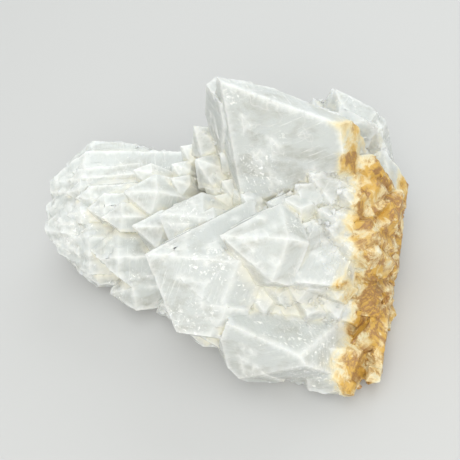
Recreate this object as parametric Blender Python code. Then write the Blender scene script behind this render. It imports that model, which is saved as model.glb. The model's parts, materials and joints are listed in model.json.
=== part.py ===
# Candle quartz cluster: milky points grown side by side from an iron-stained base.
#
# Places and sizes are in millimetres. The cluster lies as it rests on a table, with +Z up and
# the origin under its middle. The points grow towards -X and up, the broken base faces +X.
# Each point is a block cleaved by the faces of a quartz crystal, and all are joined into one.

import math
import random

import bmesh
import bpy
from mathutils import Matrix, Vector

MM = 0.001

PIECE_NAME = "quartz_cluster"
POINT_SLOPE = 51.8  # degrees between a point's axis and the normal of its tip faces
SEED = 7

# The block that the points grow out of, and the shape that the whole cluster is broken to.
# Each cut is a direction and how far out it lies from the origin.
ROOT_SIZE = 90
ROOT_CUTS = [
    ((0.66, -0.5, 0.56), 26),  # the stained wall
    ((0.1, -0.45, 0.89), 12),
    ((-0.3, 0.2, 0.93), 14),
    ((-0.5, 0.1, 0.85), 14),
    ((-0.2, -0.97, -0.1), 20),
    ((-0.75, -0.6, -0.25), 13),
    ((-0.6, 0.7, 0.4), 24),
    ((-0.9, 0.2, 0.3), 20),
    ((0.1, 0.97, 0.2), 30),
]
OUTER_SIZE = 120
OUTER_CUTS = [
    ((0.77, -0.4, 0.5), 36),
    ((0.85, -0.53, 0), 28.5),
    ((0.95, 0.3, 0.05), 39),
    ((0.6, 0.8, 0), 45),
    ((0, 0.95, -0.3), 37.2),
    ((-0.6, 0.6, -0.5), 38),
    ((-0.5, -0.4, -0.77), 8),  # the underside under the left lump
    ((-0.4, -0.6, -0.7), 11.5),
    ((0.7, -0.2, -0.7), 19),
    ((0, 0.7, -0.7), 20),
    ((0.1, -0.95, -0.6), 22.8),
    ((0, 0, -1), 0),
]

# The stained wall lies between an inner and an outer edge, each a middle and a half length.
WALL_INNER = (Vector((22, -7, 15)), Vector((5, 21, 11)))
WALL_OUTER = (Vector((27, -6, 7)), Vector((9, 22, 6)))
WALL_LUMPS = 36
WALL_LUMP_SIZE = (2, 5)
LUMP_FACES = 14

# Pieces knocked off the broken sides, at random directions from the middle of the mass
CHIPS = 60
CHIP_SIZE = (2.5, 7)
CHIP_FROM = Vector((4, 4, 10))
CHIP_DEPTH = 0.62  # how far a chip's middle stands off the side, as a share of its size

QUARTZ_COLOUR = (0.86, 0.86, 0.84, 1.0)
QUARTZ_ROUGHNESS = 0.3


def point(name, tip, width, length, bearing, rise, roll=0.0, flats=(), tips=(), breaks=()):
    """One crystal. The tip is a place, bearing turns its axis from -X towards +Y, rise lifts it.

    Side 0 faces up and the others follow round towards -Y. flats are the distances of the six
    sides from the axis, and tips how far each of the six tip faces is moved outwards, both as
    shares of half the width. breaks are flat chips, each a direction and its place past the tip.
    """
    return {
        "name": name,
        "tip": Vector(tip),
        "width": width,
        "length": length,
        "bearing": math.radians(bearing),
        "rise": math.radians(rise),
        "roll": math.radians(roll),
        "flats": tuple(flats) + (1.0,) * (6 - len(flats)),
        "tips": tuple(tips) + (0.0,) * (6 - len(tips)),
        "breaks": breaks,
    }


POINTS = [
    # the tall point at the top
    point("top", (7, 17, 42), 29, 44, 5, 63, -14, tips=(0, 0.6, 0, 0, 0.9, 0.9),
          flats=(0.8, 1.3, 0.95, 0.9, 0.8, 0.8), breaks=(((0.45, 0.88, 0.1), 2), ((0.76, -0.64, 0.09), 23), ((0.75, 0.6, 0.25), 4.5))),
    point("top_side", (5, 21, 37), 13, 34, 5, 63, -14, tips=(0.1, 0.6, 0.5, 0, 0.3, 0.6)),
    point("top_back", (17, 21, 30), 14, 30, 40, 62, 0),
    # the large points at the front
    point("middle", (-16, 1, 24), 26, 19, 10, 38, 0, tips=(0, 0, 1, 0, 0, 0), flats=(1, 0.8)),
    point("middle_back", (-12, 10, 23), 11, 22, 10, 38, 0, tips=(0, 0, 1, 0, 0, 0)),
    point("middle_low", (-18, -1, 10), 14, 22, 15, 25, 0),
    point("front", (-6, -14, 17), 26, 30, 3, 63, -13, tips=(0, 0.8, 0, 0.1, 0, 1.2),
          flats=(1.1, 1.1, 0.55, 0.55, 0.8, 1), breaks=(((0.66, -0.5, 0.56), 9.5),)),
    point("front_side", (5, -20, 11), 13, 12, 3, 63, -13, breaks=(((0.66, -0.5, 0.56), 8),)),
    point("inner_left", (-2, -4, 28), 14, 13, 8, 40, -2),
    point("inner_right", (8, -8, 28), 12, 16, 3, 63, -13, tips=(0.4, -0.5, 0.4, 0, 0, 0),
          flats=(0.8, 1)),
    # the lump of side by side points on the left
    point("left_back", (-39, 35, 16), 18, 40, 5, 22, 10, breaks=(((-1, 0.1, 0.1), -4),)),
    point("left_back_2", (-33, 41, 15), 12, 40, 5, 22, 0, breaks=(((-1, 0, 0), -2),)),
    point("left_mid", (-39, 30, 15), 14, 40, 5, 22, 0, breaks=(((-1, 0, 0.2), -2),)),
    point("left_mid_2", (-40, 26, 14), 12, 40, 5, 22, 20, breaks=(((-1, 0, 0), -2),)),
    point("left_low", (-39, 23, 12), 15, 40, 8, 20, 0, breaks=(((-1, 0, -0.2), -2),)),
    point("left_foot", (-37, 20, 8), 12, 30, 8, 20, 0, breaks=(((-1, 0, -0.3), -2),)),
    point("left_front", (-33, 15, 12), 14, 30, 8, 20, 0, breaks=(((-1, -0.5, -0.3), -4),)),
    point("left_rib_1", (-30, 32, 19), 5, 16, 3, 18, 10),
    point("left_rib_2", (-31, 29, 18.5), 5, 16, 6, 20, 0),
    point("left_rib_3", (-29, 26, 19), 5, 16, 2, 20, 20),
    point("left_rib_4", (-32, 24, 17), 5, 18, 5, 18, 0),
    point("left_rib_5", (-27, 22, 19), 6, 16, 8, 22, 0),
    point("left_rib_6", (-24, 18, 19), 6, 14, 4, 25, 10),
    point("left_box", (-18, 20, 22), 9, 14, 5, 40, 0),
    point("left_window", (-15, 25, 22), 5, 10, 5, 50, 0),
    point("left_facet", (-18, 12, 20), 8, 14, 5, 40, 0),
    # small points between the lump and the top point
    point("gap_1", (0, 26, 27), 8, 18, 30, 65, 0),
    point("gap_2", (-4, 27, 22), 5, 14, 10, 60, 0),
    point("gap_3", (-2, 19, 25), 8, 16, 10, 60, 0),
    point("gap_4", (3, 16, 27), 5, 14, 10, 60, 0),
    point("gap_5", (-8, 20, 21), 5, 14, 10, 60, 0),
    point("gap_6", (4, 6, 25), 5, 14, 10, 60, 0),
    point("gap_7", (-7, 24, 21), 5, 14, 10, 60, 0),
    # small points between the top point and the base
    point("nook_1", (16, 1, 30), 8, 7, 5, 60, 0),
    point("nook_2", (19.5, 2, 30), 5, 6, 5, 60, 0),
    point("nook_3", (20.5, 3, 32), 4, 7, 20, 50, 0),
    point("nook_4", (22, -1, 28), 7, 8, 5, 60, 0),
    point("nook_5", (25, 1, 30), 5, 12, 5, 70, 0),
    point("nook_6", (20, -3, 28), 5, 6, 5, 60, 0),
    point("nook_7", (23, -5, 24), 7, 8, 5, 60, 10),
    point("nook_8", (26, -3, 22), 8, 8, 0, 60, 10),
    point("nook_9", (19, -12, 19), 6, 8, 0, 60, 0),
    # points along the far edge
    point("far_1", (26, 29, 21), 7, 18, 90, 62, 0),
    point("far_2", (31, 29, 22), 11, 22, 100, 62, 0),
    point("far_3", (36, 24, 19), 7, 20, 110, 62, 0),
    # the clear point at the foot of the left lump
    point("clear", (-29, 9, 6), 9, 16, 5, 15, 0),
]


def axes(crystal):
    """The crystal's own frame: Z along its axis, Y towards its side 0, X towards the viewer."""
    bearing, rise = crystal["bearing"], crystal["rise"]
    flat = Vector((-math.cos(bearing), math.sin(bearing), 0))
    along = flat * math.cos(rise) + Vector((0, 0, math.sin(rise)))
    top = (Vector((0, 0, 1)) - along * along.z).normalized()
    turn = Matrix.Rotation(-crystal["roll"], 3, along)
    return turn @ top.cross(along), turn @ top, along


def cleave(bm, direction, place):
    """Cuts off what lies beyond a plane and closes the cut."""
    normal = Vector(direction).normalized()
    cut = bmesh.ops.bisect_plane(
        bm,
        geom=bm.verts[:] + bm.edges[:] + bm.faces[:],
        dist=1e-5,
        plane_co=normal * place,
        plane_no=normal,
        clear_outer=True,
    )
    edges = [e for e in cut["geom_cut"] if isinstance(e, bmesh.types.BMEdge)]
    if edges:
        bmesh.ops.contextual_create(bm, geom=edges)


def block_mesh(size, centre=(0, 0, 0)):
    bm = bmesh.new()
    bmesh.ops.create_cube(bm, size=1)
    bmesh.ops.scale(bm, vec=size, verts=bm.verts)
    bmesh.ops.translate(bm, vec=centre, verts=bm.verts)
    return bm


def crystal_mesh(crystal):
    """A block cleaved by six sides and six tip faces, about the crystal's tip."""
    width, length = crystal["width"], crystal["length"]
    half = width / 2
    bm = block_mesh((width * 2, width * 2, length + width), (0, 0, (width - length) / 2))
    slope = math.radians(POINT_SLOPE)
    for k in range(6):
        turn = math.radians(60 * k)
        outward = Vector((math.sin(turn), math.cos(turn), 0))
        cleave(bm, outward, half * crystal["flats"][k])
        tip_face = outward * math.sin(slope) + Vector((0, 0, math.cos(slope)))
        cleave(bm, tip_face, half * crystal["tips"][k])
    into = Matrix(axes(crystal))
    for direction, place in crystal["breaks"]:
        cleave(bm, into @ Vector(direction), place)
    return bm


def cut_block_mesh(size, cuts):
    bm = block_mesh((size, size, size))
    for direction, place in cuts:
        cleave(bm, direction, place)
    return bm


def lump_mesh(size, rng):
    """A broken lump: a block knocked off on all sides at slants of its own."""
    bm = block_mesh((size * 3, size * 3, size * 3))
    for _ in range(LUMP_FACES):
        direction = Vector((rng.uniform(-1, 1), rng.uniform(-1, 1), rng.uniform(-1, 1)))
        cleave(bm, direction, size * rng.uniform(0.6, 1))
    return bm


def add_object(name, bm, collection, frame=None):
    """Makes an object from a mesh in millimetres, standing in its frame."""
    if frame is not None:
        bmesh.ops.transform(bm, matrix=frame, verts=bm.verts)
    bmesh.ops.scale(bm, vec=(MM, MM, MM), verts=bm.verts)
    mesh = bpy.data.meshes.new(name)
    bm.to_mesh(mesh)
    bm.free()
    obj = bpy.data.objects.new(name, mesh)
    collection.objects.link(obj)
    return obj


def add_crystals(collection):
    for crystal in POINTS:
        frame = Matrix(axes(crystal)).transposed().to_4x4()
        frame.translation = crystal["tip"]
        add_object(crystal["name"], crystal_mesh(crystal), collection, frame)


def add_lumps(collection):
    """Broken lumps over the stained wall."""
    rng = random.Random(SEED)
    for i in range(WALL_LUMPS):
        size = rng.uniform(*WALL_LUMP_SIZE)
        along = rng.uniform(-1, 1)
        inner = WALL_INNER[0] + WALL_INNER[1] * along
        outer = WALL_OUTER[0] + WALL_OUTER[1] * along
        place = inner.lerp(outer, rng.uniform(0, 1)) - Vector(ROOT_CUTS[0][0]) * size * 0.6
        place.z = max(place.z, size)
        add_object(f"wall_lump_{i}", lump_mesh(size, rng), collection, Matrix.Translation(place))


def broken_side(direction):
    """Whether the cluster is broken rather than grown in this direction."""
    if direction.z < -0.5:
        return False
    return direction.x > 0.35 or direction.y > 0.75 or direction.z < -0.2


def add_chips(collection):
    rng = random.Random(SEED + 1)
    made = 0
    while made < CHIPS:
        direction = Vector((rng.gauss(0, 1), rng.gauss(0, 1), rng.gauss(0, 0.7))).normalized()
        if not broken_side(direction):
            continue
        reach = []
        for normal, place in OUTER_CUTS:
            normal = Vector(normal).normalized()
            if normal.dot(direction) > 0.05:
                reach.append((place - normal.dot(CHIP_FROM)) / normal.dot(direction))
        size = rng.uniform(*CHIP_SIZE)
        place = CHIP_FROM + direction * (min(reach) + size * CHIP_DEPTH)
        made += 1
        add_object(f"chip_{made}", lump_mesh(size, rng), collection, Matrix.Translation(place))


def clear_scene():
    for obj in list(bpy.data.objects):
        bpy.data.objects.remove(obj, do_unlink=True)


def new_collection(name):
    collection = bpy.data.collections.new(name)
    bpy.context.scene.collection.children.link(collection)
    return collection


def join_and_break(piece, joined, outer, chips):
    """Joins everything in a collection to the piece, then breaks it to the outer shape."""
    join = piece.modifiers.new("join", "BOOLEAN")
    join.operation = "UNION"
    join.operand_type = "COLLECTION"
    join.collection = joined
    join.solver = "EXACT"
    shape = piece.modifiers.new("shape", "BOOLEAN")
    shape.operation = "INTERSECT"
    shape.object = outer
    shape.solver = "EXACT"
    chip = piece.modifiers.new("chip", "BOOLEAN")
    chip.operation = "DIFFERENCE"
    chip.operand_type = "COLLECTION"
    chip.collection = chips
    chip.solver = "EXACT"
    evaluated = piece.evaluated_get(bpy.context.evaluated_depsgraph_get())
    mesh = bpy.data.meshes.new_from_object(evaluated)
    piece.modifiers.clear()
    piece.data = mesh


def stand_at_origin(obj):
    """Moves the mesh so that the middle of its underside is at the origin."""
    corners = [v.co for v in obj.data.vertices]
    low = [min(c[i] for c in corners) for i in range(3)]
    high = [max(c[i] for c in corners) for i in range(3)]
    middle = Vector(((low[0] + high[0]) / 2, (low[1] + high[1]) / 2, low[2]))
    obj.data.transform(Matrix.Translation(-middle))


def quartz_material():
    material = bpy.data.materials.new("milky_quartz")
    material.use_nodes = True
    shader = material.node_tree.nodes["Principled BSDF"]
    shader.inputs["Base Color"].default_value = QUARTZ_COLOUR
    shader.inputs["Roughness"].default_value = QUARTZ_ROUGHNESS
    shader.inputs["Metallic"].default_value = 0
    return material


def main():
    clear_scene()
    collection = new_collection(PIECE_NAME)
    joined = new_collection("joined")
    cutters = new_collection("cutters")
    add_crystals(joined)
    add_lumps(joined)
    chips = new_collection("chips")
    add_chips(chips)
    piece = add_object(PIECE_NAME, cut_block_mesh(ROOT_SIZE, ROOT_CUTS), collection)
    outer = add_object("outer", cut_block_mesh(OUTER_SIZE, OUTER_CUTS), cutters)
    for shapes in (joined, cutters, chips):
        for obj in shapes.objects:
            obj.hide_render = True
            obj.display_type = "WIRE"
    join_and_break(piece, joined, outer, chips)
    stand_at_origin(piece)
    piece.data.materials.clear()
    piece.data.materials.append(quartz_material())


main()
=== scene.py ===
import json
import math
import random

import bmesh
import bpy
import numpy as np
from mathutils import Matrix, Vector, noise
from mathutils.bvhtree import BVHTree

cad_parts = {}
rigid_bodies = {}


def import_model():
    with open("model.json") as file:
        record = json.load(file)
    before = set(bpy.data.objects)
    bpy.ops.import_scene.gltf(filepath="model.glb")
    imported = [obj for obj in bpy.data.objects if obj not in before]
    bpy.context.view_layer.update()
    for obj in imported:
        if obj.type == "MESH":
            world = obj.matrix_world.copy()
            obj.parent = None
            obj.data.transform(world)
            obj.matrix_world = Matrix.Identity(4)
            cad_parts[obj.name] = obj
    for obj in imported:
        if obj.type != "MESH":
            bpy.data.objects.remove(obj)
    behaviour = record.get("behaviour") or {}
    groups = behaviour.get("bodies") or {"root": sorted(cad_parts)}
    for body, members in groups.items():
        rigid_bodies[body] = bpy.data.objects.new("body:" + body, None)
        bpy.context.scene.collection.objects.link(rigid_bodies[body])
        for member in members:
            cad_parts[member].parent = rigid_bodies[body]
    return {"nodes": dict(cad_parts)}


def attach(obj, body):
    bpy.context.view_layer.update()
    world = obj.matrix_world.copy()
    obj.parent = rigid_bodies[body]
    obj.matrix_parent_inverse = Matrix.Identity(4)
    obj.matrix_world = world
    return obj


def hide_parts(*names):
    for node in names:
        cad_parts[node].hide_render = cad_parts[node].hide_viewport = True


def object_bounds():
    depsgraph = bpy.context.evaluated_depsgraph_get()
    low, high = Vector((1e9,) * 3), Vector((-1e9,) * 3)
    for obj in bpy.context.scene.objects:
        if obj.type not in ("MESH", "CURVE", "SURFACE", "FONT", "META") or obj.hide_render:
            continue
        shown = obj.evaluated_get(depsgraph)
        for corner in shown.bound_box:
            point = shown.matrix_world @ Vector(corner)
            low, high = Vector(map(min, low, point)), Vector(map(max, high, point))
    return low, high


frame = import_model()
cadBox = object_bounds()
mm = 0.001

# the crystals of the cluster, in millimetres and degrees, in the frame that they were measured in:
# tip, width, length, bearing from -X towards +Y, rise, roll, distances of the six sides, and how
# far the six tip faces are moved out, both as shares of half the width
crystals = {
    "top": ((7, 17, 42), 29, 44, 5, 63, -14, (0.8, 1.3, 0.95, 0.9, 0.8, 0.8), (0, 0.6, 0, 0, 0.9, 0.9)),
    "topSide": ((5, 21, 37), 13, 34, 5, 63, -14, (), (0.1, 0.6, 0.5, 0, 0.3, 0.6)),
    "topBack": ((17, 21, 30), 14, 30, 40, 62, 0, (), ()),
    "middle": ((-16, 1, 24), 26, 19, 10, 38, 0, (1, 0.8), (0, 0, 1)),
    "middleBack": ((-12, 10, 23), 11, 22, 10, 38, 0, (), (0, 0, 1)),
    "middleLow": ((-18, -1, 10), 14, 22, 15, 25, 0, (), ()),
    "front": ((-6, -14, 17), 26, 30, 3, 63, -13, (1.1, 1.1, 0.55, 0.55, 0.8, 1), (0, 0.8, 0, 0.1, 0, 1.2)),
    "frontSide": ((5, -20, 11), 13, 12, 3, 63, -13, (), ()),
    "innerLeft": ((-2, -4, 28), 14, 13, 8, 40, -2, (), ()),
    "innerRight": ((8, -8, 28), 12, 16, 3, 63, -13, (0.8, 1), (0.4, -0.5, 0.4)),
    "leftBack": ((-39, 35, 16), 18, 40, 5, 22, 10, (), ()),
    "leftBack2": ((-33, 41, 15), 12, 40, 5, 22, 0, (), ()),
    "leftMid": ((-39, 30, 15), 14, 40, 5, 22, 0, (), ()),
    "leftMid2": ((-40, 26, 14), 12, 40, 5, 22, 20, (), ()),
    "leftLow": ((-39, 23, 12), 15, 40, 8, 20, 0, (), ()),
    "leftFoot": ((-37, 20, 8), 12, 30, 8, 20, 0, (), ()),
    "leftFront": ((-33, 15, 12), 14, 30, 8, 20, 0, (), ()),
    "leftBox": ((-18, 20, 22), 9, 14, 5, 40, 0, (), ()),
    "leftWindow": ((-15, 25, 22), 5, 10, 5, 50, 0, (), ()),
    "leftFacet": ((-18, 12, 20), 8, 14, 5, 40, 0, (), ()),
    "gap1": ((0, 26, 27), 8, 18, 30, 65, 0, (), ()),
    "gap3": ((-2, 19, 25), 8, 16, 10, 60, 0, (), ()),
    "nook1": ((16, 1, 30), 8, 7, 5, 60, 0, (), ()),
    "nook4": ((22, -1, 28), 7, 8, 5, 60, 0, (), ()),
    "nook7": ((23, -5, 24), 7, 8, 5, 60, 10, (), ()),
    "far2": ((31, 29, 22), 11, 22, 100, 62, 0, (), ()),
    "far3": ((36, 24, 19), 7, 20, 110, 62, 0, (), ()),
    "clear": ((-29, 9, 6), 9, 16, 5, 15, 0, (), ()),
}

# small crystals that fill the notches, joined to the solid here
infill = {
    "notch1": ((2.3, -10.2, 18), 5, 6, 5, 50, 0, (), (0, 0.4)),
    "notch2": ((5.8, -10.4, 19), 6, 7, 8, 55, 10, (), (0.3, 0)),
    "notch3": ((9.0, -11.2, 19.5), 5, 7, 2, 58, -8, (), (0, 0, 0.3)),
    "notch4": ((12.4, -12.2, 18), 6, 7, 5, 60, 5, (), (0.4, 0)),
    "notch5": ((13.7, -1.2, 26), 5, 9, 5, 62, 10, (), ()),
    "notch6": ((15.5, -4.4, 26.5), 6.5, 10, 8, 64, -5, (), (0, 0.4)),
    "notch7": ((17.5, -5.9, 26), 5.5, 12, 0, 60, 0, (), ()),
    "notch8": ((19.0, -7.8, 24.5), 6.5, 12, 5, 60, 12, (), (0.3, 0)),
    "notch9": ((15.7, -7.1, 25), 5, 10, 5, 65, 0, (), ()),
    "notch10": ((17.0, -8.9, 23.5), 6, 12, 10, 60, -10, (), ()),
    "notch11": ((18.8, -10.5, 22), 6, 10, 5, 62, 0, (), (0, 0.3)),
    "notch12": ((10.6, -0.6, 27.5), 6, 8, 5, 55, 0, (), (0, 0.4)),
    "notch13": ((13.2, 0.8, 28.5), 6.5, 9, 8, 60, 12, (), (0.3, 0)),
    "notch14": ((7.6, 0.2, 27.2), 6, 8, 5, 50, 0, (), (0, 0.3)),
    "notch15": ((29.4, 23.6, 26), 12, 16, 80, 64, 20, (), (0.2, 0)),
    "notch16": ((34.2, 21.6, 21.5), 8, 14, 95, 62, 0, (), (0, 0.2)),
    "notch17": ((3.0, -10.8, 15), 7, 10, 5, 62, 0, (), (0.2, 0)),
    "notch18": ((6.8, -12.0, 15), 7, 10, 8, 64, 15, (), (0, 0.3)),
    "notch19": ((10.4, -13.0, 14), 7, 10, 2, 60, -8, (), (0.3, 0)),
    "notch20": ((13.8, -13.8, 13), 7, 10, 5, 62, 8, (), (0, 0, 0.3)),
    "notch21": ((17.0, -14.6, 12), 7, 10, 5, 64, 0, (), (0.2, 0)),
    "notch22": ((-0.4, -10.8, 15), 6, 9, 5, 60, 6, (), (0.2, 0)),
    "notch23": ((-0.6, -9.6, 17.6), 6, 9, 5, 62, 0, (), (0.3, 0)),
    "notch24": ((-1.4, 18.2, 22.5), 5, 9, 12, 58, 0, (), (0.3, 0)),
    "notch25": ((0.6, 15.4, 23), 6, 10, 8, 62, 10, (), (0, 0.3)),
    "notch26": ((1.6, 12.2, 23.5), 5, 10, 5, 66, 0, (), (0.2, 0)),
    "notch27": ((-2.0, 14.6, 21), 5, 9, 5, 55, -8, (), (0, 0.2)),
    "notch28": ((-1.0, 11.0, 21.5), 5, 9, 8, 60, 0, (), (0.3, 0)),
    "notch29": ((3.0, 8.6, 23.5), 5, 10, 5, 64, 12, (), (0, 0.3)),
}

growth = {
    "seed": 11,
    "tipSlope": 51.8,  # degrees from the axis to the normal of a tip face
    "perWidth": 3.0,  # growth steps tried for each millimetre of a crystal's width
    "stepWidth": (1.5, 5.5),
    "stepLength": (3.0, 10.0),
    "proud": (0.04, 0.26),  # how far a step stands out of its face
    "onTips": 0.6,  # the share of the steps that lie on tip faces, the rest being ribs along the sides
    "lowSides": 0.6,  # the ribs are lower than the steps on the tips
    "leastWidth": 10,  # smaller crystals have plain faces
    "seatGap": 0.15,  # how far off the solid a step may lie, mm
    "footGap": 0.3,  # how far its foot may stick out
}

skin = {
    "meshDepth": 7,  # the mesh's cells are the longest side over 2 to this power
    "meshScale": 0.99,
    "breakDepth": 0.34,  # how deep the broken rock is pitted, mm
    "rippleDepth": 0.035,  # waves in the crystal faces
    "edgeWear": 0.1,
    "ridgeDepth": 0.42,  # ridges along the long points of the left lump
    "ridgeSize": (7.0, 1.5, 1.5),
    "ridgedFrom": (-24.0, -12.0),  # mm across, full to none
    "recessReach": 7.0,  # how far round a point other crystals shade it, mm
    "middle": Vector((4, -4, 10)),  # the middle of the mass, mm
    "seed": Vector((3.1, 7.7, 1.9)),
}


def sixOf(values, usual):
    # one value for each of the six sides, the missing ones being the usual
    return tuple(values) + (usual,) * (6 - len(values))


def crystalAxes(bearing, rise, roll):
    # Z along the crystal, Y towards its upper side, X towards the viewer
    b, r = math.radians(bearing), math.radians(rise)
    along = Vector((-math.cos(b) * math.cos(r), math.sin(b) * math.cos(r), math.sin(r)))
    top = (Vector((0, 0, 1)) - along * along.z).normalized()
    turn = Matrix.Rotation(-math.radians(roll), 3, along)
    return Matrix((turn @ top.cross(along), turn @ top, along)).transposed()


def cleave(bm, direction, place):
    normal = Vector(direction).normalized()
    cut = bmesh.ops.bisect_plane(bm, geom=bm.verts[:] + bm.edges[:] + bm.faces[:], dist=1e-5,
                                 plane_co=normal * place, plane_no=normal, clear_outer=True)
    edges = [e for e in cut["geom_cut"] if isinstance(e, bmesh.types.BMEdge)]
    if edges:
        bmesh.ops.contextual_create(bm, geom=edges)


def faceDirections():
    slope = math.radians(growth["tipSlope"])
    sides, tips = [], []
    for k in range(6):
        turn = math.radians(60 * k)
        side = Vector((math.sin(turn), math.cos(turn), 0))
        sides.append(side)
        tips.append(side * math.sin(slope) + Vector((0, 0, math.cos(slope))))
    return sides, tips


sideWays, tipWays = faceDirections()


def pointMesh(width, length, flats=(), tips=()):
    # a block cleaved by six sides and six tip faces, its tip at the origin
    flats, tips = sixOf(flats, 1.0), sixOf(tips, 0.0)
    bm = bmesh.new()
    bmesh.ops.create_cube(bm, size=1)
    bmesh.ops.scale(bm, vec=(width * 2, width * 2, length + width), verts=bm.verts)
    bmesh.ops.translate(bm, vec=(0, 0, (width - length) / 2), verts=bm.verts)
    for k in range(6):
        cleave(bm, sideWays[k], width / 2 * flats[k])
        cleave(bm, tipWays[k], width / 2 * tips[k])
    return bm


def makeObject(name, bm):
    mesh = bpy.data.meshes.new(name)
    bm.to_mesh(mesh)
    bm.free()
    obj = bpy.data.objects.new(name, mesh)
    bpy.context.scene.collection.objects.link(obj)
    return obj


def weldedCopy(node, name):
    bm = bmesh.new()
    bm.from_mesh(frame["nodes"][node].data)
    bmesh.ops.remove_doubles(bm, verts=bm.verts, dist=2e-6)
    bmesh.ops.dissolve_degenerate(bm, edges=bm.edges, dist=1e-6)
    return makeObject(name, bm)


def frameShift(obj):
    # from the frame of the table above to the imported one, by the tall point's highest corner
    tip, width, length, bearing, rise, roll, flats, tips = crystals["top"]
    bm = pointMesh(width, length, flats, tips)
    bm.transform(Matrix.Translation(tip) @ crystalAxes(bearing, rise, roll).to_4x4())
    bm.transform(Matrix.Scale(mm, 4))
    highest = max((v.co.copy() for v in bm.verts), key=lambda c: c.z)
    bm.free()
    return max((v.co for v in obj.data.vertices), key=lambda c: c.z) - highest


def notchCrystals(shift):
    bodies = []
    for name, (tip, width, length, bearing, rise, roll, flats, tips) in infill.items():
        bm = pointMesh(width, length, flats, tips)
        bm.transform(Matrix.Translation(tip) @ crystalAxes(bearing, rise, roll).to_4x4())
        bm.transform(Matrix.Translation(shift) @ Matrix.Scale(mm, 4))
        bodies.append(makeObject(name, bm))
    return bodies


def growthSteps(obj, shift):
    # small parallel crystals that stand just proud of each crystal's own faces
    bm = bmesh.new()
    bm.from_mesh(obj.data)
    tree = BVHTree.FromBMesh(bm)
    bm.free()
    rng = random.Random(growth["seed"])
    bodies = []
    for tip, width, length, bearing, rise, roll, flats, tips in crystals.values():
        if width < growth["leastWidth"]:
            continue
        flats, tips = sixOf(flats, 1.0), sixOf(tips, 0.0)
        into = Matrix.Translation(tip) @ crystalAxes(bearing, rise, roll).to_4x4()
        into = Matrix.Translation(shift) @ Matrix.Scale(mm, 4) @ into
        for _ in range(round(width * growth["perWidth"])):
            k = rng.randrange(6)
            size = min(rng.uniform(*growth["stepWidth"]), width * 0.45)
            proud = rng.uniform(*growth["proud"])
            across = sideWays[k].cross(Vector((0, 0, 1)))
            if rng.random() < growth["onTips"]:
                down = across.cross(tipWays[k])
                down = down if down.z < 0 else -down
                reach = rng.uniform(0.15, 0.8) * width * 0.8
                start = tipWays[k] * (width / 2 * tips[k] + proud)
                start = start + down * reach + across * rng.uniform(-0.4, 0.4) * reach
                way, seat = tipWays[k], start
                reach = min(rng.uniform(*growth["stepLength"]), length * 0.4)
            else:
                proud *= growth["lowSides"]
                size *= 0.7
                reach = length * rng.uniform(0.4, 0.9)
                start = sideWays[k] * (width / 2 * flats[k] + proud - size / 2)
                start = start + across * rng.uniform(-0.28, 0.28) * width
                start = start - Vector((0, 0, rng.uniform(0.05, 0.5) * length))
                way, seat = sideWays[k], start + sideWays[k] * size / 2
            _, normal, _, gap = tree.find_nearest(into @ seat)
            onFace = normal.dot(into.to_3x3().normalized() @ way) > 0.995
            if gap > (proud + growth["seatGap"]) * mm or not onFace:
                continue  # that part of the face is broken off or inside a neighbour
            foot = into @ (start - Vector((0, 0, reach)))
            near, normal, _, gap = tree.find_nearest(foot)
            if (foot - near).dot(normal) > 0 and gap > growth["footGap"] * mm:
                continue  # it would stick out where the crystal ends
            bm = pointMesh(size, reach)
            bm.transform(into @ Matrix.Translation(start))
            cleave(bm, (0, 0, -1), -0.05 * mm)  # none reaches below the underside
            body = makeObject("growthStep", bm)
            bodies.append(body)
    return bodies


def joined(obj, others):
    # one closed mesh out of the solid and all that grows on it
    collection = bpy.data.collections.new("joining")
    bpy.context.scene.collection.children.link(collection)
    for other in others:
        bpy.context.scene.collection.objects.unlink(other)
        collection.objects.link(other)
    join = obj.modifiers.new("join", "BOOLEAN")
    join.operation = "UNION"
    join.operand_type = "COLLECTION"
    join.collection = collection
    join.solver = "MANIFOLD"
    evaluated = obj.evaluated_get(bpy.context.evaluated_depsgraph_get())
    mesh = bpy.data.meshes.new_from_object(evaluated)
    obj.modifiers.clear()
    obj.data = mesh
    for other in others:
        bpy.data.objects.remove(other)
    bpy.data.collections.remove(collection)


def evenMesh(obj):
    # small even faces that keep the crystals' sharp edges, so that the surface can be worn and pitted
    remesh = obj.modifiers.new("even", "REMESH")
    remesh.mode = "SHARP"
    remesh.octree_depth = skin["meshDepth"]
    remesh.scale = skin["meshScale"]
    remesh.sharpness = 1.0
    remesh.use_remove_disconnected = True
    evaluated = obj.evaluated_get(bpy.context.evaluated_depsgraph_get())
    mesh = bpy.data.meshes.new_from_object(evaluated)
    obj.modifiers.clear()
    obj.data = mesh
    easeFolds(mesh)


def easeFolds(mesh):
    # opens the few small faces that fold back on a neighbour
    bm = bmesh.new()
    bm.from_mesh(mesh)
    for _ in range(6):
        folded = set()
        for e in bm.edges:
            if len(e.link_faces) == 2 and e.link_faces[0].normal.dot(e.link_faces[1].normal) < -0.4:
                folded.update(v for f in e.link_faces for v in f.verts if v.co.z > 0.5 * mm)
        if not folded:
            break
        bmesh.ops.smooth_vert(bm, verts=sorted(folded, key=lambda v: v.index), factor=0.6,
                              use_axis_x=True, use_axis_y=True, use_axis_z=True)
        bm.normal_update()
    bm.to_mesh(mesh)
    bm.free()


def facePlanes(shift):
    # every crystal face as a way and a distance, with the way that growth lines run across it
    planes = []
    for tip, width, length, bearing, rise, roll, flats, tips in (*crystals.values(), *infill.values()):
        flats, tips = sixOf(flats, 1.0), sixOf(tips, 0.0)
        turn = crystalAxes(bearing, rise, roll)
        place = Vector(tip) * mm + shift
        for k in range(6):
            across = turn @ sideWays[k].cross(Vector((0, 0, 1)))
            for way, out in ((turn @ sideWays[k], flats[k]), (turn @ tipWays[k], tips[k])):
                planes.append((way, way.dot(place) + width / 2 * out * mm, across))
    return planes


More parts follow.
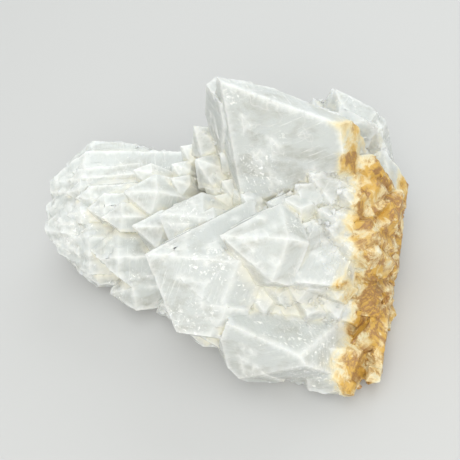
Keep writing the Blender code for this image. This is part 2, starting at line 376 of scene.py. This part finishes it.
def markFaces(obj, shift):
    # material index 0 where a face is a crystal's own, 1 where the rock is broken
    planes = facePlanes(shift)
    ways = np.array([p[0] for p in planes])
    places = np.array([p[1] for p in planes])
    count = len(obj.data.polygons)
    normals = np.empty(count * 3)
    centres = np.empty(count * 3)
    obj.data.polygons.foreach_get("normal", normals)
    obj.data.polygons.foreach_get("center", centres)
    normals, centres = normals.reshape(-1, 3), centres.reshape(-1, 3)
    turned = normals @ ways.T > math.cos(math.radians(1.5))
    gap = np.abs(centres @ ways.T - places)
    own = turned & (gap < (growth["proud"][1] + 0.1) * mm)
    grown = own.any(axis=1)
    which = np.where(grown, np.where(own, gap, 1).argmin(axis=1), -1)
    obj.data.polygons.foreach_set("material_index", np.where(grown, 0, 1).astype(np.int32))
    label = obj.data.attributes.new("facet", "INT", "FACE")
    label.data.foreach_set("value", which.astype(np.int32))
    return planes


def layGrowthLines(obj, planes):
    # a UV map in millimetres: U along the growth lines of each crystal face, V across them
    mesh = obj.data
    count = len(mesh.polygons)
    which = np.empty(count, np.int32)
    mesh.attributes["facet"].data.foreach_get("value", which)
    normals = np.empty(count * 3)
    mesh.polygons.foreach_get("normal", normals)
    normals = normals.reshape(-1, 3)
    along = np.array([p[2] for p in planes] + [Vector((0, 1, 0))])[which]
    up = np.cross(normals, along)
    loops = np.empty(len(mesh.loops), np.int32)
    mesh.loops.foreach_get("vertex_index", loops)
    points = np.empty(len(mesh.vertices) * 3)
    mesh.vertices.foreach_get("co", points)
    points = points.reshape(-1, 3)[loops]
    sides = np.empty(count, np.int32)
    mesh.polygons.foreach_get("loop_total", sides)
    per = np.repeat(np.arange(count), sides)
    u = (points * along[per]).sum(1) / mm + which[per] * 7.3
    v = (points * up[per]).sum(1) / mm + which[per] * 3.1
    layer = mesh.uv_layers.new(name="growthLines")
    layer.data.foreach_set("uv", np.stack([u, v], 1).ravel())


def fractal(p, size, octaves=4):
    return noise.fractal(p / (size * mm) + skin["seed"], 1.0, 2.0, octaves)


def smooth(low, high, value):
    t = min(1.0, max(0.0, (value - low) / (high - low)))
    return t * t * (3 - 2 * t)


def ridgeAt(p, turn):
    # long shallow ridges along the points of the left lump, none elsewhere
    share = 1 - smooth(*skin["ridgedFrom"], p.x / mm)
    if share == 0:
        return 0.0
    q = turn @ (p / mm)
    long, side, up = skin["ridgeSize"]
    return share * (noise.fractal(Vector((q.z / long, q.x / side, q.y / up)), 1.0, 2.0, 3) - 0.15)


def brokenSide(p):
    # the sides where the cluster is broken off: right, far and below
    out = (p / mm - skin["middle"]).normalized()
    far = smooth(0.7, 0.9, out.y) * (1 - smooth(13.0, 17.0, p.z / mm))
    return max(smooth(0.3, 0.5, out.x), far, smooth(0.1, 0.3, -out.z))


def spread(values, ends, share, rings):
    # lets a mark run to the neighbouring points, fading by a share at each
    for _ in range(rings):
        wider = values.copy()
        np.maximum.at(wider, ends[:, 0], values[ends[:, 1]] * share)
        np.maximum.at(wider, ends[:, 1], values[ends[:, 0]] * share)
        values = wider
    return values


def measureSurface(obj):
    # how broken each point is, how shaded by its neighbours, on how sharp an edge, in how deep a seam
    mesh = obj.data
    bm = bmesh.new()
    bm.from_mesh(mesh)
    tree = BVHTree.FromBMesh(bm)
    rng = random.Random(5)
    rays = [Vector((rng.gauss(0, 1), rng.gauss(0, 1), rng.gauss(0, 1))).normalized() for _ in range(12)]
    broken, recess, edge, seam = [], [], [], []
    for v in bm.verts:
        faces = v.link_faces
        area = sum(f.calc_area() for f in faces)
        share = sum(f.calc_area() for f in faces if f.material_index) / max(area, 1e-14)
        broken.append(share * brokenSide(v.co))
        bends = [e.calc_face_angle_signed(0.0) for e in v.link_edges]
        edge.append(smooth(0.2, 1.0, max(bends, default=0)))
        seam.append(smooth(0.35, 1.1, -min(bends, default=0)))
        start = v.co + v.normal * 0.15 * mm
        hits = tries = 0
        for ray in rays:
            if ray.dot(v.normal) < 0.1:
                continue
            tries += 1
            if tree.ray_cast(start, ray, skin["recessReach"] * mm)[0] is not None:
                hits += 1
        recess.append(hits / max(tries, 1))
    ends = np.array([(e.verts[0].index, e.verts[1].index) for e in bm.edges])
    bm.free()
    recess = np.array(recess)
    for _ in range(2):  # evens out the few rays
        total, number = recess.copy(), np.ones(len(recess))
        np.add.at(total, ends[:, 0], recess[ends[:, 1]])
        np.add.at(total, ends[:, 1], recess[ends[:, 0]])
        np.add.at(number, ends.ravel(), 1)
        recess = total / number
    return (np.array(broken), recess, spread(np.array(edge), ends, 0.45, 1),
            spread(np.array(seam), ends, 0.75, 3), np.array(edge))


def setAttribute(obj, name, values):
    attribute = obj.data.attributes.new(name, "FLOAT", "POINT")
    attribute.data.foreach_set("value", np.asarray(values, np.float32))


stain = {
    "way": Vector((0.75, -0.62, 0.2)).normalized(),  # the stained wall faces this way
    "from": 25.5,  # mm along that way from the middle of the underside, where the stain begins
    "full": 32.0,
    "gather": 1.6,  # above 1 it sets in slowly and deepens late
    "rim": (33.8, 37.0),  # the broken rim beyond it is whiter
    "rimLoss": 0.72,
    "seep": 2.4,  # how far it wanders to either side
    "tallPoint": ((-7.0, 0.0), (20.0, 25.0)),  # mm back and up, where the tall point stays cleaner
    "tallPointLoss": 0.8,
    "backEnd": (20.0, 32.0),
}


def stainAt(p):
    reach = (p / mm).dot(stain["way"]) + fractal(p, 7.0) * stain["seep"]
    back, up = stain["tallPoint"]
    amount = smooth(stain["from"], stain["full"], reach) ** stain["gather"]
    amount *= 1 - stain["rimLoss"] * smooth(*stain["rim"], reach)
    amount *= 1 - stain["tallPointLoss"] * smooth(*back, p.y / mm) * smooth(*up, p.z / mm)
    blotch = smooth(-0.5, 0.2, fractal(p + Vector((0.05, 0, 0)), 4.5))
    return amount * (0.5 + 0.5 * blotch) * (1 - smooth(*stain["backEnd"], p.y / mm))


druse = {
    "seed": 4,
    "density": 2.2,  # grains to a square millimetre where they are thickest
    "size": (0.18, 0.62),  # mm
    "patchSize": 4.0,
    "across": (-6.0, 12.0),  # mm, none in the seams to the left of this and all to the right
    "onStain": 0.1,
    "onBreak": 0.25,
    "above": (1.0, 3.0),  # mm, none below this height
}


def druseAt(p, broken, recess, stained, seam):
    # grains gather in the seams near the stained wall and thinly over the stain, in patches
    patch = smooth(-0.15, 0.35, fractal(p + Vector((0, 0.07, 0)), druse["patchSize"]))
    inSeam = patch * seam * smooth(*druse["across"], p.x / mm) * smooth(0.1, 0.4, recess)
    amount = inSeam + druse["onStain"] * stained * patch + druse["onBreak"] * broken * recess
    return amount * smooth(*druse["above"], p.z / mm)


def roughenSurface(obj):
    mesh = obj.data
    broken, recess, edge, seam, sharp = measureSurface(obj)
    low, high = np.array(cadBox[0]), np.array(cadBox[1])
    count = len(mesh.vertices)
    points, normals = np.empty(count * 3), np.empty(count * 3)
    mesh.vertices.foreach_get("co", points)
    mesh.vertex_normals.foreach_get("vector", normals)
    points, normals = points.reshape(-1, 3), normals.reshape(-1, 3)
    stains, depths = np.zeros(count), np.zeros(count)
    lumpTurn = crystalAxes(*crystals["leftBack"][3:6]).transposed()
    for i in range(count):
        p = Vector(points[i])
        stains[i] = stainAt(p)
        ripple = fractal(p, 2.2) * skin["rippleDepth"]
        pits = fractal(p, 1.9, 5) * 0.8 + noise.noise(p / (0.8 * mm)) * 0.35
        rock = (pits - 0.25) * skin["breakDepth"]
        wear = sharp[i] * skin["edgeWear"] * (0.3 + max(0.0, fractal(p, 1.1) + 0.35))
        depth = ripple * (1 - broken[i]) + rock * broken[i] - wear
        depth += ridgeAt(p, lumpTurn) * skin["ridgeDepth"]
        depths[i] = depth * smooth(0.0, 1.2, p.z / mm)  # the underside stays flat to rest on
    points = np.clip(points + normals * depths[:, None] * mm, low, high)
    mesh.vertices.foreach_set("co", points.ravel())
    mesh.update()
    setAttribute(obj, "broken", broken)
    setAttribute(obj, "recess", recess)
    setAttribute(obj, "stain", stains)
    setAttribute(obj, "edge", edge)
    setAttribute(obj, "seam", seam)
    setAttribute(obj, "druse", [druseAt(Vector(p), b, r, s, e)
                                for p, b, r, s, e in zip(points, broken, recess, stains, seam)])
    mesh.shade_smooth()
    mesh.set_sharp_from_angle(angle=math.radians(24))


def grainShapes():
    # three little crystals and a crumb, for the druse to be made of
    shapes = bpy.data.collections.new("grains")
    rng = random.Random(druse["seed"])
    for i in range(4):
        if i < 3:
            bm = pointMesh(1.0, 1.1, [rng.uniform(0.7, 1.2) for _ in range(6)],
                           [rng.uniform(0, 0.5) for _ in range(6)])
        else:
            bm = bmesh.new()
            bmesh.ops.create_cube(bm, size=2)
            for _ in range(8):
                way = Vector((rng.uniform(-1, 1), rng.uniform(-1, 1), rng.uniform(-1, 1)))
                cleave(bm, way, rng.uniform(0.5, 0.8))
        bmesh.ops.triangulate(bm, faces=bm.faces)
        bm.transform(Matrix.Scale(mm, 4))
        shape = makeObject(f"grain{i}", bm)
        bpy.context.scene.collection.objects.unlink(shape)
        shapes.objects.link(shape)
    return shapes


def druseTree(shapes, material):
    # grains over the surface, thickest where its "druse" attribute is highest
    tree = bpy.data.node_groups.new("druseGrains", "GeometryNodeTree")
    face = tree.interface
    face.new_socket("Geometry", in_out="INPUT", socket_type="NodeSocketGeometry")
    for name in ("Density", "Smallest", "Largest"):
        face.new_socket(name, in_out="INPUT", socket_type="NodeSocketFloat")
    face.new_socket("Seed", in_out="INPUT", socket_type="NodeSocketInt")
    face.new_socket("Geometry", in_out="OUTPUT", socket_type="NodeSocketGeometry")
    add, link = tree.nodes.new, tree.links.new
    start, end = add("NodeGroupInput"), add("NodeGroupOutput")
    where = add("GeometryNodeInputNamedAttribute")
    where.data_type = "FLOAT"
    where.inputs["Name"].default_value = "druse"
    thick = add("ShaderNodeMath")
    thick.operation = "MULTIPLY"
    link(where.outputs["Attribute"], thick.inputs[0])
    link(start.outputs["Density"], thick.inputs[1])
    points = add("GeometryNodeDistributePointsOnFaces")
    link(start.outputs["Geometry"], points.inputs["Mesh"])
    link(thick.outputs[0], points.inputs["Density"])
    link(start.outputs["Seed"], points.inputs["Seed"])
    grains = add("GeometryNodeCollectionInfo")
    grains.inputs["Collection"].default_value = shapes
    grains.inputs["Separate Children"].default_value = True
    grains.inputs["Reset Children"].default_value = True
    size = add("FunctionNodeRandomValue")
    size.data_type = "FLOAT"
    sizeInputs = [x for x in size.inputs if x.enabled]
    link(start.outputs["Smallest"], sizeInputs[0])
    link(start.outputs["Largest"], sizeInputs[1])
    lean = add("FunctionNodeRandomValue")
    lean.data_type = "FLOAT_VECTOR"
    leanInputs = [x for x in lean.inputs if x.enabled]
    leanInputs[0].default_value = (-0.7, -0.7, -3.1)
    leanInputs[1].default_value = (0.7, 0.7, 3.1)
    turn = add("FunctionNodeRotateRotation")
    turn.rotation_space = "LOCAL"
    link(points.outputs["Rotation"], turn.inputs["Rotation"])
    link(next(x for x in lean.outputs if x.enabled), turn.inputs["Rotate By"])
    place = add("GeometryNodeInstanceOnPoints")
    place.inputs["Pick Instance"].default_value = True
    link(points.outputs["Points"], place.inputs["Points"])
    link(grains.outputs[0], place.inputs["Instance"])
    link(turn.outputs["Rotation"], place.inputs["Rotation"])
    link(next(x for x in size.outputs if x.enabled), place.inputs["Scale"])
    real = add("GeometryNodeRealizeInstances")
    link(place.outputs["Instances"], real.inputs[0])
    paint = add("GeometryNodeSetMaterial")
    paint.inputs["Material"].default_value = material
    link(real.outputs[0], paint.inputs["Geometry"])
    link(paint.outputs["Geometry"], end.inputs[0])
    return tree


def growDruse(obj, material):
    carrier = bpy.data.objects.new("druse_crust", obj.data.copy())
    bpy.context.scene.collection.objects.link(carrier)
    carrier.data.transform(Matrix.Scale(1 / mm, 4))  # densities count by the square millimetre
    shapes = grainShapes()
    for shape in shapes.objects:
        shape.data.transform(Matrix.Scale(1 / mm, 4))
    tree = druseTree(shapes, material)
    modifier = carrier.modifiers.new("druse", "NODES")
    modifier.node_group = tree
    values = {"Density": druse["density"], "Smallest": druse["size"][0],
              "Largest": druse["size"][1], "Seed": druse["seed"]}
    for item in tree.interface.items_tree:
        if item.in_out == "INPUT" and item.name in values:
            modifier[item.identifier] = values[item.name]
    evaluated = carrier.evaluated_get(bpy.context.evaluated_depsgraph_get())
    mesh = bpy.data.meshes.new_from_object(evaluated)
    carrier.modifiers.clear()
    mesh.transform(Matrix.Scale(mm, 4))
    carrier.data = mesh
    for shape in list(shapes.objects):
        bpy.data.objects.remove(shape)
    points = np.empty(len(mesh.vertices) * 3)
    mesh.vertices.foreach_get("co", points)
    points = np.clip(points.reshape(-1, 3), np.array(cadBox[0]), np.array(cadBox[1]))
    mesh.vertices.foreach_set("co", points.ravel())
    return carrier


finish = {
    "milky": (0.80, 0.83, 0.81),
    "smokyAndShade": (0.73, 0.69, 0.58),  # the grey beige of the clearer parts, and painted shade where neighbouring crystals shade a point
    # white of frost, flecks and cracks, also used as painted highlight along the convex edges
    "frostAndEdgeHighlight": (0.98, 0.98, 0.95),
    "seam": (0.96, 0.93, 0.80),
    "amber": (0.63, 0.36, 0.03),
    "rust": (0.30, 0.12, 0.015),
    "cream": (0.87, 0.76, 0.46),
    "ior": 1.54,
    "through": (0.3, 0.45),  # how much light passes the milky parts, and how much more the clear ones
    "glow": 1.4,  # how far light spreads below the surface, mm
    "relief": (0.75, 0.35),  # strength and height of the fine relief, mm
}


class Nodes:
    # short hands for laying a material's nodes
    def __init__(self, tree):
        self.tree = tree

    def add(self, kind, **values):
        node = self.tree.nodes.new(kind)
        for name, value in values.items():
            setattr(node, name, value)
        return node

    def put(self, socket, value):
        if isinstance(value, bpy.types.NodeSocket):
            self.tree.links.new(value, socket)
        else:
            socket.default_value = value

    def math(self, operation, a, b=0.0, clamp=False):
        node = self.add("ShaderNodeMath", operation=operation, use_clamp=clamp)
        self.put(node.inputs[0], a)
        self.put(node.inputs[1], b)
        return node.outputs[0]

    def ramp(self, value, low, high, to=(0.0, 1.0)):
        node = self.add("ShaderNodeMapRange", clamp=True, interpolation_type="SMOOTHSTEP")
        self.put(node.inputs["Value"], value)
        node.inputs["From Min"].default_value = low
        node.inputs["From Max"].default_value = high
        node.inputs["To Min"].default_value = to[0]
        node.inputs["To Max"].default_value = to[1]
        return node.outputs["Result"]

    def mix(self, share, a, b):
        node = self.add("ShaderNodeMix", data_type="RGBA")
        self.put(node.inputs["Factor"], share)
        for socket, value in ((node.inputs[6], a), (node.inputs[7], b)):
            self.put(socket, value if isinstance(value, bpy.types.NodeSocket) else (*value, 1.0))
        return node.outputs[2]

    def noise(self, place, scale, detail=4.0, rough=0.55, warp=0.0):
        node = self.add("ShaderNodeTexNoise")
        self.put(node.inputs["Vector"], place)
        node.inputs["Scale"].default_value = scale
        node.inputs["Detail"].default_value = detail
        node.inputs["Roughness"].default_value = rough
        node.inputs["Distortion"].default_value = warp
        return node.outputs["Fac"]

    def attribute(self, name):
        return self.add("ShaderNodeAttribute", attribute_name=name).outputs["Fac"]


def quartzMaterial():
    material = bpy.data.materials.new("milky quartz with iron stain")
    material.use_nodes = True
    n = Nodes(material.node_tree)
    shader = material.node_tree.nodes["Principled BSDF"]
    place = n.add("ShaderNodeTexCoord").outputs["Object"]
    broken, recess, stained, edge, seam = (
        n.attribute(x) for x in ("broken", "recess", "stain", "edge", "seam"))

    # clouds in the crystal, drawn out on a slant: white veils over a clearer grey beige; the same darker
    # grey beige is painted shade where neighbouring crystals shade a point
    slant = n.add("ShaderNodeMapping")
    n.put(slant.inputs["Vector"], place)
    slant.inputs["Rotation"].default_value = (0.5, 0.35, 0.9)
    slant.inputs["Scale"].default_value = (0.45, 1.3, 2.1)
    clouds = n.noise(slant.outputs["Vector"], 120, 7, 0.66, 0.5)
    veils = n.noise(place, 420, 5, 0.6, 1.2)
    # painted shade: the recess term turns the colour towards the darker grey beige where other crystals
    # shade a point; the clouds term is the crystal's own
    clear = n.math("ADD", n.math("MULTIPLY", n.ramp(clouds, 0.44, 0.68), 0.38),
                   n.math("MULTIPLY", n.ramp(recess, 0.3, 0.95), 0.5), clamp=True)
    clear = n.math("MULTIPLY", clear, n.ramp(veils, 0.35, 0.62, (1.0, 0.6)))
    colour = n.mix(clear, finish["milky"], finish["smokyAndShade"])

    # frost in flecks and along the growth lines, white along the convex edges that is partly chipped frost
    # and partly painted highlight, and a warmer white deep in the seams
    uv = n.add("ShaderNodeUVMap", uv_map="growthLines").outputs["UV"]
    stretch = n.add("ShaderNodeMapping")
    n.put(stretch.inputs["Vector"], uv)
    stretch.inputs["Scale"].default_value = (0.14, 1.7, 1.0)
    lines = n.noise(stretch.outputs["Vector"], 1.0, 6, 0.72, 0.3)
    flecks = n.math("MULTIPLY", n.ramp(n.noise(place, 1300, 3, 0.75, 0.6), 0.55, 0.64),
                    n.ramp(n.noise(place, 90, 4, 0.6), 0.5, 0.6))
    streaks = n.math("MULTIPLY", n.ramp(lines, 0.53, 0.66), n.ramp(n.noise(place, 170, 3), 0.4, 0.6))
    # painted highlight: the edge term whitens every convex edge, partly for chipped frost and partly
    # standing in for the bright highlights along the edges
    frostAndHighlightShare = n.math("MAXIMUM", n.math("MULTIPLY", edge, 0.6), n.math("MULTIPLY", flecks, 0.95))
    frostAndHighlightShare = n.math("MAXIMUM", frostAndHighlightShare, n.math("MULTIPLY", streaks, 0.5))
    colour = n.mix(frostAndHighlightShare, colour, finish["frostAndEdgeHighlight"])
    deep = n.math("MULTIPLY", n.math("MULTIPLY", seam, 0.85), n.ramp(recess, 0.22, 0.5))
    colour = n.mix(deep, colour, finish["seam"])
    frostAndHighlightShare = n.math("MAXIMUM", frostAndHighlightShare, deep)

    # white threads of healed cracks inside the crystal
    cracks = n.math("ABSOLUTE", n.math("SUBTRACT", n.noise(place, 75, 3, 0.5, 1.6), 0.5))
    some = n.ramp(n.noise(place, 60), 0.45, 0.6)
    cracks = n.math("MULTIPLY", n.ramp(cracks, 0.0, 0.011, (1.0, 0.0)), some)
    colour = n.mix(n.math("MULTIPLY", cracks, 0.7), colour, finish["frostAndEdgeHighlight"])

    # iron stain: cream at its edge, amber over the rock, rust in veins
    grain = n.noise(place, 300, 7, 0.7, 0.8)
    soak = n.math("MULTIPLY", stained, n.ramp(grain, 0.36, 0.62, (0.45, 1.3)), clamp=True)
    iron = n.mix(n.ramp(soak, 0.2, 0.8), finish["cream"], finish["amber"])
    rusty = n.math("ABSOLUTE", n.math("SUBTRACT", n.noise(place, 130, 6, 0.7, 1.4), 0.5))
    rusty = n.math("MULTIPLY", n.ramp(rusty, 0.0, 0.075, (1.0, 0.0)), n.ramp(soak, 0.3, 0.75))
    iron = n.mix(n.math("MULTIPLY", rusty, 0.9), iron, finish["rust"])
    colour = n.mix(n.ramp(soak, 0.0, 0.4, (0.0, 0.94)), colour, iron)
    n.put(shader.inputs["Base Color"], colour)

    # fine relief: growth lines, low shields on the crystal faces, and the pits of a broken one
    shields = n.noise(uv, 0.55, 3, 0.5, 1.0)
    pits = n.noise(place, 1500, 4, 0.7)
    height = n.math("ADD", n.math("MULTIPLY", lines, 0.9), n.math("MULTIPLY", shields, 0.5))
    pitted = n.math("ADD", 0.38, n.math("MULTIPLY", broken, 0.5))
    height = n.math("ADD", height, n.math("MULTIPLY", pits, pitted))
    bump = n.add("ShaderNodeBump")
    bump.inputs["Strength"].default_value = finish["relief"][0]
    bump.inputs["Distance"].default_value = finish["relief"][1] * mm
    n.put(bump.inputs["Height"], height)
    n.put(shader.inputs["Normal"], bump.outputs["Normal"])

    rough = n.math("ADD", n.ramp(clouds, 0.35, 0.7, (0.10, 0.22)), n.math("MULTIPLY", broken, 0.18))
    n.put(shader.inputs["Roughness"], n.math("ADD", rough, n.math("MULTIPLY", soak, 0.2), clamp=True))
    least, more = finish["through"]
    through = n.math("MULTIPLY", n.math("ADD", least, n.math("MULTIPLY", clear, more)),
                     n.ramp(soak, 0.05, 0.5, (1.0, 0.2)))
    through = n.math("MULTIPLY", through, n.math("SUBTRACT", 1.0, n.math("MULTIPLY", frostAndHighlightShare, 0.8)))
    n.put(shader.inputs["Transmission Weight"], through)
    shader.inputs["IOR"].default_value = finish["ior"]
    n.put(shader.inputs["Subsurface Weight"], n.ramp(soak, 0.05, 0.6, (0.6, 0.05)))
    shader.inputs["Subsurface Radius"].default_value = (1.0, 0.95, 0.85)
    shader.inputs["Subsurface Scale"].default_value = finish["glow"] * mm
    return material


studio = {
    "floor": (0.52, 0.52, 0.515),
    "lookAt": (0, 0, 0.02),
    "windows": {  # place, size, power and colour
        "window": ((0.06, -0.02, 0.6), (0.7, 0.5), 1.4, (0.92, 0.965, 1.0)),
        "far window": ((0.36, 0.42, 0.36), (0.5, 0.3), 1.1, (0.92, 0.965, 1.0)),
        "fill": ((-0.05, -0.42, 0.38), (0.5, 0.4), 1.4, (1.0, 0.97, 0.93)),
    },
    "air": (0.985, 1.0, 0.975),
    "ambient": 0.79,
}


def addWindow(name, place, size, power, colour):
    light = bpy.data.lights.new(name, "AREA")
    light.shape = "RECTANGLE"
    light.size, light.size_y = size
    light.energy = power
    light.color = colour
    obj = bpy.data.objects.new(name, light)
    obj.location = place
    away = Vector(place) - Vector(studio["lookAt"])
    obj.rotation_euler = away.to_track_quat("Z", "Y").to_euler()
    bpy.context.scene.collection.objects.link(obj)


def makeStudio():
    bm = bmesh.new()
    bmesh.ops.create_grid(bm, x_segments=1, y_segments=1, size=1.5)
    floor = makeObject("floor", bm)
    floor.location.z = -0.02 * mm
    paper = bpy.data.materials.new("pale paper")
    paper.use_nodes = True
    shader = paper.node_tree.nodes["Principled BSDF"]
    shader.inputs["Base Color"].default_value = (*studio["floor"], 1.0)
    shader.inputs["Roughness"].default_value = 0.9
    floor.data.materials.append(paper)
    for name, (place, size, power, colour) in studio["windows"].items():
        addWindow(name, place, size, power, colour)
    world = bpy.data.worlds.new("room")
    world.use_nodes = True
    back = world.node_tree.nodes["Background"]
    back.inputs["Color"].default_value = (*studio["air"], 1.0)
    back.inputs["Strength"].default_value = studio["ambient"]
    bpy.context.scene.world = world
    bpy.context.scene.view_settings.view_transform = "Standard"


camera = {
    "elevation": 51.0,
    "roll": 19.4,
    "lens": 47.7,  # on a 36 mm sensor
    "distance": 140.0,  # mm
    "lookAt": (0, 19, 0),  # in the crystals' own frame
}


def placeCamera(shift):
    lift, roll = math.radians(camera["elevation"]), math.radians(camera["roll"])
    forward = Vector((0, math.cos(lift), -math.sin(lift)))
    up = Vector((0, math.sin(lift), math.cos(lift)))
    right = Vector((1, 0, 0))
    data = bpy.data.cameras.new("camera")
    data.sensor_width = 36
    data.lens = camera["lens"]
    data.clip_start = 0.005
    obj = bpy.data.objects.new("camera", data)
    bpy.context.scene.collection.objects.link(obj)
    x = right * math.cos(roll) - up * math.sin(roll)
    y = right * math.sin(roll) + up * math.cos(roll)
    turn = Matrix((x, y, -forward)).transposed().to_4x4()
    place = Vector(camera["lookAt"]) * mm + shift - forward * camera["distance"] * mm
    obj.matrix_world = Matrix.Translation(place) @ turn
    bpy.context.scene.camera = obj


print("joining the growth steps")
quartz = weldedCopy("quartz_cluster", "milky_quartz_cluster")
shift = frameShift(quartz)
joined(quartz, growthSteps(quartz, shift) + notchCrystals(shift))
print("evening and roughening the surface")
evenMesh(quartz)
planes = markFaces(quartz, shift)
layGrowthLines(quartz, planes)
roughenSurface(quartz)
quartzSkin = quartzMaterial()
quartz.data.materials.clear()
quartz.data.materials.append(quartzSkin)
quartz.data.polygons.foreach_set("material_index", np.zeros(len(quartz.data.polygons), np.int32))
print("growing the druse")
crust = growDruse(quartz, quartzSkin)
print("grain faces", len(crust.data.polygons))

for piece in (quartz, crust):
    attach(piece, "root")
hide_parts("quartz_cluster")

print("setting the studio")
makeStudio()
placeCamera(shift)
